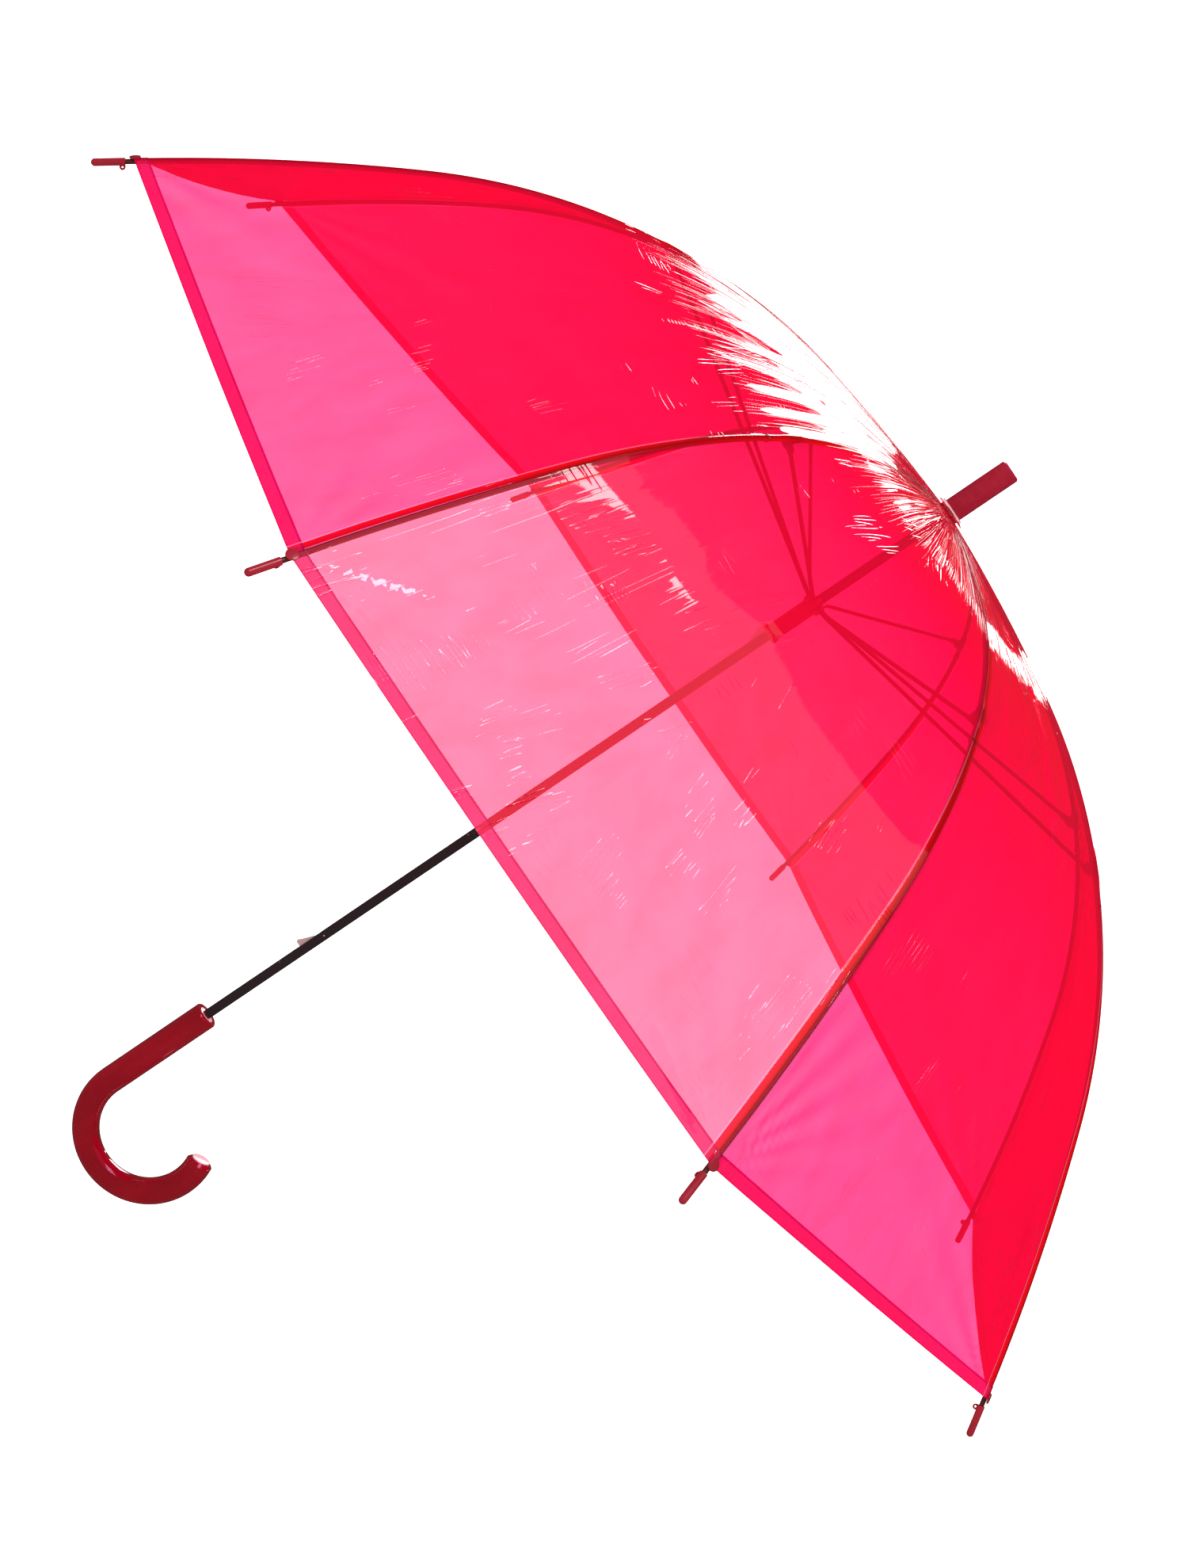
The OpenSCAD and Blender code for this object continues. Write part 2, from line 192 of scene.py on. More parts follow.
# ---------------------------------------------------------------- settings


class CanopySettings(PropertyGroup):
    lift: FloatProperty(
        name="Film lift", description="Height of the film above the rib wire's centre line",
        default=0.0021, unit="LENGTH",
    )
    clip_lift: FloatProperty(
        name="Clip lift", description="Extra height where the film passes over a rib clip",
        default=0.0006, unit="LENGTH",
    )
    start: FloatProperty(
        name="Crown opening", description="Distance along a rib where the gores begin",
        default=0.0045, unit="LENGTH",
    )
    row: FloatProperty(
        name="Row spacing", description="Distance between rows of the film's mesh",
        default=0.004, unit="LENGTH",
    )
    columns: IntProperty(
        name="Columns", description="Columns of the film's mesh from a rib to the middle of a gore",
        default=40, min=12,
    )
    weld_width: FloatProperty(
        name="Weld width", description="Width of the welded band beside each rib",
        default=0.0046, unit="LENGTH",
    )
    hem_width: FloatProperty(
        name="Hem width", description="Width of the welded hem",
        default=0.0090, unit="LENGTH",
    )
    fold_depth: FloatProperty(
        name="Fold depth", description="Depth of the folds that run out from the crown",
        default=0.0005, unit="LENGTH",
    )
    ripple_depth: FloatProperty(
        name="Ripple depth", description="Depth of the soft ripples across a gore",
        default=0.00035, unit="LENGTH",
    )
    corner_depth: FloatProperty(
        name="Corner fold depth", description="Depth of the folds that run out from a corner",
        default=0.0007, unit="LENGTH",
    )
    sag: FloatProperty(
        name="Hem sag", description="How far the middle of the hem hangs inwards",
        default=0.0045, unit="LENGTH",
    )
    seed: IntProperty(
        name="Seed", description="Start of the random numbers that place the folds",
        default=7,
    )


class FinishSettings(PropertyGroup):
    film_glow: FloatVectorProperty(
        name="Film glow", description="Colour of the light that the film scatters",
        subtype="COLOR", default=(1.0, 0.0, 0.045), min=0, max=1,
    )
    film_tint: FloatVectorProperty(
        name="Film tint", description="Colour of what is seen square through the film",
        subtype="COLOR", default=(1.0, 0.50, 0.80), min=0, max=1,
    )
    film_haze: FloatProperty(
        name="Film haze", description="Share of the light that the film scatters",
        default=0.70, min=0, max=1, subtype="FACTOR",
    )
    handle: FloatVectorProperty(
        name="Handle", description="Colour of the hook handle",
        subtype="COLOR", default=(0.26, 0.0006, 0.008), min=0, max=1,
    )
    ferrule: FloatVectorProperty(
        name="Ferrule", description="Colour of the ferrule",
        subtype="COLOR", default=(0.34, 0.003, 0.024), min=0, max=1,
    )
    fittings: FloatVectorProperty(
        name="Fittings", description="Colour of the notch and the runner",
        subtype="COLOR", default=(0.36, 0.008, 0.02), min=0, max=1,
    )
    caps: FloatVectorProperty(
        name="Tip caps", description="Colour of the caps on the rib tips",
        subtype="COLOR", default=(0.30, 0.010, 0.022), min=0, max=1,
    )
    # This pale colour also goes on the plug in the hook's end, where it is a painted reflection of
    # the white surround
    pale: FloatVectorProperty(
        name="Pale plastic", description="Colour of the washer and of the handle's liner",
        subtype="COLOR", default=(0.86, 0.52, 0.55), min=0, max=1,
    )
    ribs: FloatVectorProperty(
        name="Rib paint", description="Colour of the painted rib and stretcher wire",
        subtype="COLOR", default=(0.090, 0.012, 0.004), min=0, max=1,
    )
    shaft: FloatVectorProperty(
        name="Shaft paint", description="Colour of the painted shaft tube",
        subtype="COLOR", default=(0.024, 0.016, 0.017), min=0, max=1,
    )


class StageSettings(PropertyGroup):
    lens: FloatProperty(
        name="Lens", description="Focal length of the camera on a 36 mm sensor", default=62.55,
    )
    backdrop: FloatProperty(
        name="Backdrop", description="Brightness of the backdrop", default=1.85, min=0,
    )
    fill: FloatProperty(
        name="Fill", description="Brightness of the light from all sides", default=1.12, min=0,
    )
    mirror: FloatProperty(
        name="Mirrored fill", description="Brightness of the surroundings in reflections",
        default=0.04, min=0,
    )
    panels: FloatProperty(
        name="Panels", description="Brightness of the light panels, as a share", default=1.0, min=0,
    )


# ---------------------------------------------------------------- materials


class Nodes:
    """A short way to write one material's node tree."""

    def __init__(self, name):
        self.material = bpy.data.materials.new(name)
        self.material.use_nodes = True
        self.tree = self.material.node_tree
        self.tree.nodes.clear()
        self.output = self.add("ShaderNodeOutputMaterial")

    def add(self, kind, inputs=None, **settings):
        node = self.tree.nodes.new(kind)
        for name, value in settings.items():
            setattr(node, name, value)
        for name, value in (inputs or {}).items():
            if isinstance(value, bpy.types.NodeSocket):
                self.tree.links.new(value, node.inputs[name])
            else:
                node.inputs[name].default_value = value
        return node

    def place(self):
        return self.add("ShaderNodeTexCoord").outputs["Object"]

    def uv(self, name):
        return self.add("ShaderNodeUVMap", uv_map=name).outputs["UV"]

    def scaled(self, vector, scale):
        return self.add("ShaderNodeMapping", {"Vector": vector, "Scale": scale}).outputs[0]

    def noise(self, vector, scale, detail=3.0, roughness=0.55):
        return self.add(
            "ShaderNodeTexNoise",
            {"Vector": vector, "Scale": scale, "Detail": detail, "Roughness": roughness},
        ).outputs["Fac"]

    def ramp(self, value, low, high, to_low=0.0, to_high=1.0):
        ends = {"From Min": low, "From Max": high, "To Min": to_low, "To Max": to_high}
        return self.add(
            "ShaderNodeMapRange", {"Value": value, **ends}, interpolation_type="SMOOTHSTEP"
        ).outputs["Result"]

    def math(self, operation, a, b):
        return self.add("ShaderNodeMath", {0: a, 1: b}, operation=operation).outputs[0]

    def crease(self, value, width):
        """Thin ridges where value passes its middle."""
        off = self.math("ABSOLUTE", self.math("SUBTRACT", value, 0.5), 0.0)
        return self.ramp(off, 0.0, width, 1.0, 0.0)

    def band(self, value, low, high, edge):
        """1 where value lies between low and high, with soft edges."""
        return self.math(
            "MULTIPLY",
            self.ramp(value, low - edge, low + edge),
            self.ramp(value, high - edge, high + edge, 1.0, 0.0),
        )

    def colours(self, factor, a, b):
        node = self.add("ShaderNodeMix", data_type="RGBA")
        for socket, value in ((node.inputs[0], factor), (node.inputs[6], a), (node.inputs[7], b)):
            if isinstance(value, bpy.types.NodeSocket):
                self.tree.links.new(value, socket)
            elif isinstance(value, (tuple, list)):
                socket.default_value = (*value[:3], 1.0)
            else:
                socket.default_value = value
        return node.outputs[2]

    def bump(self, height, depth, strength=1.0, under=None):
        inputs = {"Height": height, "Distance": depth, "Strength": strength}
        if under is not None:
            inputs["Normal"] = under
        return self.add("ShaderNodeBump", inputs).outputs["Normal"]

    def through(self, tint, tilt, thick):
        """The tint deepened by the length of the way through a sheet tilted from the eye."""
        facing = self.math("MAXIMUM", self.math("SUBTRACT", 1.0, tilt), LEAST_FACING)
        way = self.math("MULTIPLY", self.math("POWER", facing, WAY_POWER), thick)
        channels = {k: self.math("POWER", value, way) for k, value in enumerate(tint)}
        return self.add("ShaderNodeCombineColor", channels).outputs[0]

    def mixed(self, factor, a, b):
        return self.add("ShaderNodeMixShader", {0: factor, 1: a, 2: b}).outputs[0]

    def finish(self, shader):
        self.tree.links.new(shader, self.output.inputs["Surface"])
        return self.material


def shade(colour, factor):
    return tuple(channel * factor for channel in colour)


def moulded_plastic(name, colour, roughness, coat=0.35, coat_ior=1.5):
    """Glossy injection-moulded plastic with a faint flow pattern and fine scuffs."""
    n = Nodes(name)
    place = n.place()
    flow = n.noise(n.scaled(place, (1, 1, 0.35)), 42.0, 4.0)
    scuffs = n.noise(n.scaled(place, (1, 1, 2)), 90.0, 2.0)
    base = n.colours(n.ramp(flow, 0.3, 0.7), shade(colour, 0.86), shade(colour, 1.12))
    gloss = n.math(
        "ADD",
        n.ramp(scuffs, 0.45, 0.75, roughness * 0.9, roughness * 1.25),
        n.ramp(flow, 0.4, 0.8, 0.0, 0.05),
    )
    shader = n.add(
        "ShaderNodeBsdfPrincipled",
        {
            "Base Color": base,
            "Roughness": gloss,
            "IOR": 1.49,
            "Coat Weight": coat,
            "Coat IOR": coat_ior,
            "Coat Roughness": 0.04,
            "Normal": n.bump(scuffs, 0.000008, 0.5),
        },
    )
    return n.finish(shader.outputs[0])


def painted_wire(name, colour, roughness=0.32):
    """Baked paint on steel, with a fine orange peel and small bright nicks."""
    n = Nodes(name)
    place = n.place()
    peel = n.noise(place, 900.0, 2.0)
    wear = n.noise(place, 140.0, 5.0, 0.7)
    nicks = n.ramp(wear, 0.66, 0.74)
    base = n.colours(nicks, colour, WORN_PAINT)
    shader = n.add(
        "ShaderNodeBsdfPrincipled",
        {
            "Base Color": base,
            "Metallic": 0.1,
            "Roughness": n.ramp(wear, 0.3, 0.7, roughness * 0.8, roughness * 1.4),
            "Coat Weight": 0.15,
            "Coat Roughness": 0.2,
            "Normal": n.bump(peel, 0.00002, 0.4),
        },
    )
    return n.finish(shader.outputs[0])


def bare_steel(name, colour, roughness=0.28):
    """Bright stamped or drawn steel with brush marks and a little tarnish."""
    n = Nodes(name)
    place = n.place()
    brushed = n.noise(n.scaled(place, (40, 40, 3)), 60.0, 2.0)
    tarnish = n.noise(place, 180.0, 4.0)
    base = n.colours(n.ramp(tarnish, 0.45, 0.75), colour, shade(colour, 0.55))
    shader = n.add(
        "ShaderNodeBsdfPrincipled",
        {
            "Base Color": base,
            "Metallic": 0.5,
            "Roughness": n.ramp(brushed, 0.3, 0.7, roughness * 0.7, roughness * 1.4),
            "Normal": n.bump(brushed, 0.00003, 0.5),
        },
    )
    return n.finish(shader.outputs[0])


def tinted_film(name, finish, canopy, banded=True):
    """Clear tinted vinyl: part straight see-through, part glowing haze, under a wet-looking gloss.

    Map "film" holds metres from the rib and along it, map "gore" the share of a gore and metres.
    """
    n = Nodes(name)
    glow, tint = finish.film_glow[:], finish.film_tint[:]
    film = n.uv("film")
    gore = n.uv("gore")
    across, along = n.add("ShaderNodeSeparateXYZ", {0: film}).outputs[:2]
    pleats = n.noise(n.scaled(gore, (15, 2.0, 1)), 1.0, 1.0, 0.5)
    threads = n.noise(n.scaled(gore, (60, 6, 1)), 1.0, 1.0, 0.5)
    crumple = n.noise(n.scaled(film, (46, 24, 1)), 1.0, 5.0, 0.6)
    waves = n.noise(n.scaled(film, (22, 14, 1)), 1.0, 0.0)
    lengthwise = n.noise(n.scaled(film, (230, 16, 1)), 1.0, 0.0)
    crosswise = n.noise(n.scaled(film, (26, 190, 1)), 1.0, 0.0)
    cloud = n.noise(n.scaled(film, (21, 13, 1)), 1.0, 2.0)
    grain = n.noise(film, 1500.0, 2.0)
    crown = n.ramp(along, 0.02, 0.34, 1.0, 0.1)
    folds = n.math("ADD", n.crease(pleats, 0.05), n.math("MULTIPLY", n.crease(threads, 0.04), 0.3))
    normal = n.bump(n.math("MULTIPLY", folds, crown), FOLD_BUMP)
    dents = n.math("MULTIPLY", n.crease(lengthwise, 0.05), n.ramp(cloud, 0.57, 0.64))
    dashes = n.math("MULTIPLY", n.crease(crosswise, 0.05), n.ramp(cloud, 0.35, 0.41, 0.4, 0.0))
    normal = n.bump(n.math("ADD", dents, dashes), DENT_BUMP, 1.0, normal)
    normal = n.bump(waves, WAVE_BUMP, 1.0, normal)
    normal = n.bump(grain, GRAIN_BUMP, 0.4, normal)
    haze = n.ramp(crumple, 0.3, 0.75, finish.film_haze - 0.02, finish.film_haze + 0.03)
    light = n.colours(n.ramp(crumple, 0.35, 0.7), glow, shade(glow, 0.94))
    thick = 1.0
    if banded:
        aside = n.math("SUBTRACT", across, n.ramp(along, *WELD_CROSSING, WELD_SWING, -WELD_SWING))
        half = canopy.weld_width / 2
        weld = n.band(aside, -half, half, 0.0003)
        # Painted highlight: a thin pale line just beside the weld, where the weld's edge would
        # catch light
        painted_highlight_band = n.band(aside, -half - 0.0011, -half - 0.0003, 0.0002)
        speckle = n.ramp(n.noise(film, 800.0, 1.0), 0.62, 0.68)
        hem_in = RIB_LENGTH - canopy.hem_width
        hem = n.band(along, hem_in, 1.0, 0.0003)
        inner = n.band(along, hem_in, hem_in + 0.0013, 0.0002)
        outer = n.band(along, RIB_LENGTH - 0.0009, 1.0, 0.0003)
        edges = n.math("MAXIMUM", inner, n.math("MULTIPLY", outer, 0.7))
        haze = n.math("ADD", haze, n.math("MULTIPLY", weld, WELD_HAZE))
        haze = n.math("ADD", haze, n.math("MULTIPLY", hem, HEM_HAZE))
        haze = n.math("ADD", haze, n.math("MULTIPLY", edges, HEM_EDGE_HAZE))
        thick = n.math("ADD", 1.0, n.math("MULTIPLY", weld, WELD_THICKNESS))
        thick = n.math("ADD", thick, n.math("MULTIPLY", hem, HEM_THICKNESS))
        light = n.colours(weld, light, WELD_GLOW)
        light = n.colours(hem, light, HEM_GLOW)
        light = n.colours(edges, light, HEM_EDGE_GLOW)
        light = n.colours(n.math("MULTIPLY", hem, speckle), light, HEM_SPECKLE_GLOW)
        light = n.colours(painted_highlight_band, light, WELD_EDGE_PAINTED_HIGHLIGHT)
        normal = n.bump(n.math("MAXIMUM", weld, hem), WELD_BUMP, 0.6, normal)
    tilt = n.add("ShaderNodeLayerWeight", {"Blend": 0.5, "Normal": normal}).outputs["Facing"]
    flat_tilt = n.add("ShaderNodeLayerWeight", {"Blend": 0.5}).outputs["Facing"]
    see = n.through(tint, flat_tilt, thick)
    haze_shader = n.mixed(
        BACK_SHARE,
        n.add("ShaderNodeBsdfTranslucent", {"Color": light, "Normal": normal}).outputs[0],
        n.add("ShaderNodeBsdfDiffuse", {"Color": light, "Normal": normal}).outputs[0],
    )
    body = n.mixed(
        haze, n.add("ShaderNodeBsdfTransparent", {"Color": see}).outputs[0], haze_shader
    )
    gloss = n.add(
        "ShaderNodeBsdfAnisotropic",
        {"Color": (1, 1, 1, 1), "Roughness": GLOSS_ROUGHNESS, "Normal": normal},
    ).outputs[0]
    low = n.math("MULTIPLY", n.math("POWER", tilt, 5.0), LOW_ANGLE_REFLECTANCE)
    mirror = n.math("ADD", SQUARE_REFLECTANCE, low)
    return n.finish(n.mixed(mirror, body, gloss))


# ---------------------------------------------------------------- film


class Gores:
    """The film's shape: gores stretched between neighbouring ribs, with folds and ripples."""

    def __init__(self, canopy):
        self.c = canopy
        dice = random.Random(canopy.seed)
        self.folds = [
            [(dice.uniform(2, 11), dice.uniform(0, 6.3), dice.uniform(0.3, 1)) for _ in range(5)]
            for _ in range(RIBS)
        ]
        self.ripples = [[self.ripple(dice) for _ in range(6)] for _ in range(RIBS)]
        self.corners = [
            [(dice.uniform(9, 26), dice.uniform(0, 6.3), dice.uniform(0.4, 1)) for _ in range(4)]
            for _ in range(RIBS)
        ]

    @staticmethod
    def ripple(dice):
        """One ripple's frequencies along and across the gore, its phase and its weight."""
        along, across = dice.uniform(8, 42), dice.uniform(-14, 14)
        return along, across, dice.uniform(0, 6.3), dice.uniform(0.3, 1)

    def width(self, s):
        """The gore's full width between its ribs."""
        return 2 * rib_line(s)[0] * math.sin(RIB_STEP / 2)

    def relief(self, gore, w, s):
        """Height of the folds over the plain gore. w runs from 0 at one rib to 1 at the next."""
        c = self.c
        width = self.width(s)
        edge = np.minimum(w, 1 - w) * width
        free = 1 - np.exp(-np.square(edge / HELD_BY_RIB))
        early = smooth(s, 0.006, 0.05)
        fold = sum(k * np.sin(2 * math.pi * f * w + p) for f, p, k in self.folds[gore]) / 2
        fold *= c.fold_depth * np.exp(-s / FOLD_REACH) * early
        fold *= np.minimum(1, width / FOLD_FULL_WIDTH)
        ripple = sum(
            k * np.sin(f * s * 2.2 + g * w + p) for f, g, p, k in self.ripples[gore]
        ) / 2.4
        ripple *= c.ripple_depth * smooth(s, 0.05, 0.25)
        corner = 0
        for at_start in (True, False):
            x = (w if at_start else 1 - w) * width
            y = RIB_LENGTH - s
            angle = np.arctan2(y + 0.002, x + 0.002)
            reach = np.exp(-np.hypot(x, y) / CORNER_REACH)
            near = smooth(np.hypot(x, y), 0.008, 0.05)
            shift = 0 if at_start else 2
            waves = sum(k * np.sin(f * angle + p + shift) for f, p, k in self.corners[gore])
            corner = corner + waves / 2 * reach * near
        corner *= c.corner_depth
        sag = -c.sag * 4 * w * (1 - w) * np.square(s / RIB_LENGTH)
        over_clip = c.clip_lift * smooth(CLIP_REACH - np.abs(s - JOINT_S), 0, CLIP_HALF_WIDTH)
        over_clip = over_clip * np.exp(-np.square(edge / CLIP_HALF_WIDTH))
        return (fold + ripple + corner) * free + sag + over_clip

    def points(self, gore, w, s):
        """Places on the film, lifted off the ribs' centre lines and out from the flat rulings."""
        radius, height, slope = rib_line(s)
        q = radius + self.c.lift * np.sin(slope)
        z = NOTCH_Z + height + self.c.lift * np.cos(slope)
        a, b = azimuth(gore), azimuth(gore + 1)
        middle = (a + b) / 2
        flat = np.cos(slope) * math.cos(RIB_STEP / 2)
        size = np.hypot(np.sin(slope), flat)
        out, up = np.sin(slope) / size, flat / size
        lift = self.relief(gore, w, s)
        x = q * ((1 - w) * math.cos(a) + w * math.cos(b)) + lift * out * math.cos(middle)
        y = q * ((1 - w) * math.sin(a) + w * math.sin(b)) + lift * out * math.sin(middle)
        return np.stack([x, y, z + lift * up], -1)

    def normals(self, gore, w, s):
        """Outward normals of the film, from the places a little way around each point."""
        dw, ds = 0.004, 0.0015
        ahead = self.points(gore, np.minimum(w + dw, 1), s)
        across = ahead - self.points(gore, np.maximum(w - dw, 0), s)
        down = self.points(gore, w, s + ds) - self.points(gore, w, s - ds)
        n = np.cross(down, across)
        return n / np.linalg.norm(n, axis=-1, keepdims=True)


def film_rows(canopy, start, end):
    """Distances along the rib, evenly spaced, with rows set for the hem's step and edge."""
    count = max(2, round((end - start) / canopy.row))
    rows = list(np.linspace(start, end, count + 1))
    if end >= RIB_LENGTH - 1e-6:
        hem = RIB_LENGTH - canopy.hem_width
        rows = [s for s in rows if s < hem - 0.001]
        rows += [hem - 0.0003, hem + 0.0003, hem + 0.0025, hem + 0.005]
        rows += [RIB_LENGTH - 0.0006, RIB_LENGTH]
    return np.array(rows)


def film_columns(canopy, half):
    """Distances from the rib over one row, close together beside the rib."""
    near = np.linspace(0, NEAR_RIB, NEAR_COLUMNS) * min(1.0, half / NARROW_HALF)
    rest = np.linspace(near[-1], half, canopy.columns - len(near) + 2)[1:]
    return np.concatenate([near, rest])


def film_half(name, gores, rib, side, start, end, material):
    """One rib's film from its rib to the middle of the gore beside it. side is 1 or -1.

    Returns the piece, its flat width and length, and its flat area.
    """
    c = gores.c
    gore = rib if side > 0 else (rib - 1) % RIBS
    rows = film_rows(c, start, end)
    width = gores.width(rows)
    across = np.stack([film_columns(c, w / 2) for w in width])
    share = across / width[:, None]
    w = share if side > 0 else 1 - share
    s = np.repeat(rows[:, None], across.shape[1], 1)
    points = gores.points(gore, w, s)
    normals = gores.normals(gore, w, s)
    hemmed = s > RIB_LENGTH - c.hem_width
    points = points + normals * (HEM_RELIEF * hemmed)[..., None]
    count, columns = s.shape
    index = np.arange(count * columns).reshape(count, columns)
    a, b = index[:-1, :-1].ravel(), index[1:, :-1].ravel()
    d, e = index[1:, 1:].ravel(), index[:-1, 1:].ravel()
    faces = np.stack([a, b, d, e] if side > 0 else [a, e, d, b], -1)
    mesh = bpy.data.meshes.new(name)
    mesh.from_pydata(points.reshape(-1, 3).tolist(), [], faces.tolist())
    loops = np.zeros(len(mesh.loops), np.int32)
    mesh.loops.foreach_get("vertex_index", loops)
    maps = {
        "film": np.stack([side * across, s], -1).reshape(-1, 2),
        "gore": np.stack([w + 2 * gore, s], -1).reshape(-1, 2),
    }
    for key, values in maps.items():
        layer = mesh.uv_layers.new(name=key)
        layer.data.foreach_set("uv", values[loops].astype(np.float32).ravel())
    mesh.shade_smooth()
    mesh.normals_split_custom_set_from_vertices(normals.reshape(-1, 3).tolist())
    mesh.materials.append(material)
    piece = bpy.data.objects.new(name, mesh)
    bpy.context.scene.collection.objects.link(piece)
    flat = float(np.sum((width[1:] + width[:-1]) / 4 * np.diff(rows)))
    return piece, float(width[-1] / 2), float(rows[-1] - rows[0]), flat


def fold_axis(rib, side, start, end):
    """The way a half gore's width flattens: its ruling's part across the rib's chord."""
    r, z, _ = rib_line([start, end])
    along = Vector((r[1] - r[0], 0, z[1] - z[0])).normalized()
    ruling = Vector((-math.sin(RIB_STEP / 2), side * math.cos(RIB_STEP / 2), 0))
    axis = (ruling - ruling.dot(along) * along).normalized()
    turn = Matrix.Rotation(azimuth(rib), 3, "Z")
    anchor = turn @ Vector((float(r.mean()), 0, NOTCH_Z + float(z.mean())))
    return turn @ axis, anchor


class UMBRELLA_OT_film(Operator):
    """Makes the film canopy, as two half gores beside every rib, each split at the rib's bend"""

    bl_idname = "umbrella.film"
    bl_label = "Film canopy"

    def execute(self, context):
        canopy, finish = context.scene.umbrella_canopy, context.scene.umbrella_finish
        gores = Gores(canopy)
        material = tinted_film("tinted_film", finish, canopy)
        spans = (
            ("upper", "rib_inner", canopy.start, FLEX_S),
            ("lower", "rib_outer", FLEX_S, RIB_LENGTH),
        )
        for rib in range(RIBS):
            for side, word in ((1, "left"), (-1, "right")):
                for part, body, start, end in spans:
                    name = f"film_{part}_{word}_{rib}"
                    piece, width, length, area = film_half(
                        name, gores, rib, side, start, end, material
                    )
                    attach(piece, f"{body}_{rib}")
                    axis, anchor = fold_axis(rib, side, start, end)
                    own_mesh(piece)
                    if word == "left" and part == "upper":
                        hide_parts(f"canopy_panel_{rib}")
        return {"FINISHED"}


class UMBRELLA_OT_crown(Operator):
    """Makes the gathered film collar that closes the canopy under the washer"""

    bl_idname = "umbrella.crown"
    bl_label = "Crown gather"

    def execute(self, context):
        canopy, finish = context.scene.umbrella_canopy, context.scene.umbrella_finish
        dice = random.Random(canopy.seed + 1)
        inner, outer = GATHER_INNER_R, GATHER_OUTER_R
        turns, rows = GATHER_TURNS, GATHER_ROWS
        waves = [
            (dice.randint(19, 47), dice.uniform(0, 6.3), dice.uniform(0.4, 1)) for _ in range(5)
        ]
        points, faces, uv = [], [], []
        for k in range(rows + 1):
            t = k / rows
            radius = inner + (outer - inner) * t
            depth = GATHER_CRIMP * math.sin(math.pi * min(1.0, max(0.0, (t - 0.35) / 0.65)) * 0.8)
            level = GATHER_Z - GATHER_DROOP * max(0.0, t - 0.45) ** 1.5 / 0.4
            for j in range(turns):
                angle = 2 * math.pi * j / turns
                crimp = sum(a * math.sin(f * angle + p) for f, p, a in waves) / 3
                z = level + crimp * depth
                ragged = GATHER_RAGGED * t * t * math.sin(11 * angle + 2 * crimp)
                r = radius + ragged
                points.append((r * math.cos(angle), r * math.sin(angle), z))
                uv.append((r * angle, 0.02 + t * 0.01))
        for k in range(rows):
            for j in range(turns):
                a, b = k * turns + j, k * turns + (j + 1) % turns
                faces.append((a, a + turns, b + turns, b))
        mesh = bpy.data.meshes.new("crown_gather")
        mesh.from_pydata(points, [], faces)
        for key in ("film", "gore"):
            layer = mesh.uv_layers.new(name=key)
            for loop in mesh.loops:
                layer.data[loop.index].uv = uv[loop.vertex_index]
        mesh.shade_smooth()
        mesh.materials.append(tinted_film("gathered_film", finish, canopy, banded=False))
        piece = bpy.data.objects.new("crown_gather", mesh)
        context.scene.collection.objects.link(piece)
        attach(piece, "shaft")
        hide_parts("crown_film")
        return {"FINISHED"}


# ---------------------------------------------------------------- modelled trims


def start_primitive():
    """Leaves edit mode and deselects everything before a primitive is added."""
    if bpy.context.object and bpy.context.object.mode != "OBJECT":
        bpy.ops.object.mode_set(mode="OBJECT")
    bpy.ops.object.select_all(action="DESELECT")


def pick_faces(piece, test):
    """In edit mode, selects the faces whose centre and normal pass the test."""
    mesh = bmesh.from_edit_mesh(piece.data)
    for face in mesh.faces:
        face.select_set(bool(test(face.calc_center_median(), face.normal)))
    mesh.select_flush_mode()
    bmesh.update_edit_mesh(piece.data)


def rest_at_origin(piece, name, material):
    """Leaves the piece's place in its mesh, and gives it its name and finish."""
    bpy.ops.object.mode_set(mode="OBJECT")
    bpy.ops.object.transform_apply(location=True, rotation=True, scale=True)
    piece.name = piece.data.name = name
    piece.data.materials.clear()
    piece.data.materials.append(material)
    return piece


def bevel_and_apply(piece, width, segments=3):
    """Rounds the piece's sharp edges and smooths the shading of its round faces."""
    bevel = piece.modifiers.new("edges", "BEVEL")
    bevel.width, bevel.segments, bevel.limit_method = width, segments, "ANGLE"
    bevel.angle_limit = math.radians(40)
    bpy.ops.object.modifier_apply(modifier=bevel.name)
    bpy.ops.object.shade_smooth_by_angle(angle=math.radians(35))


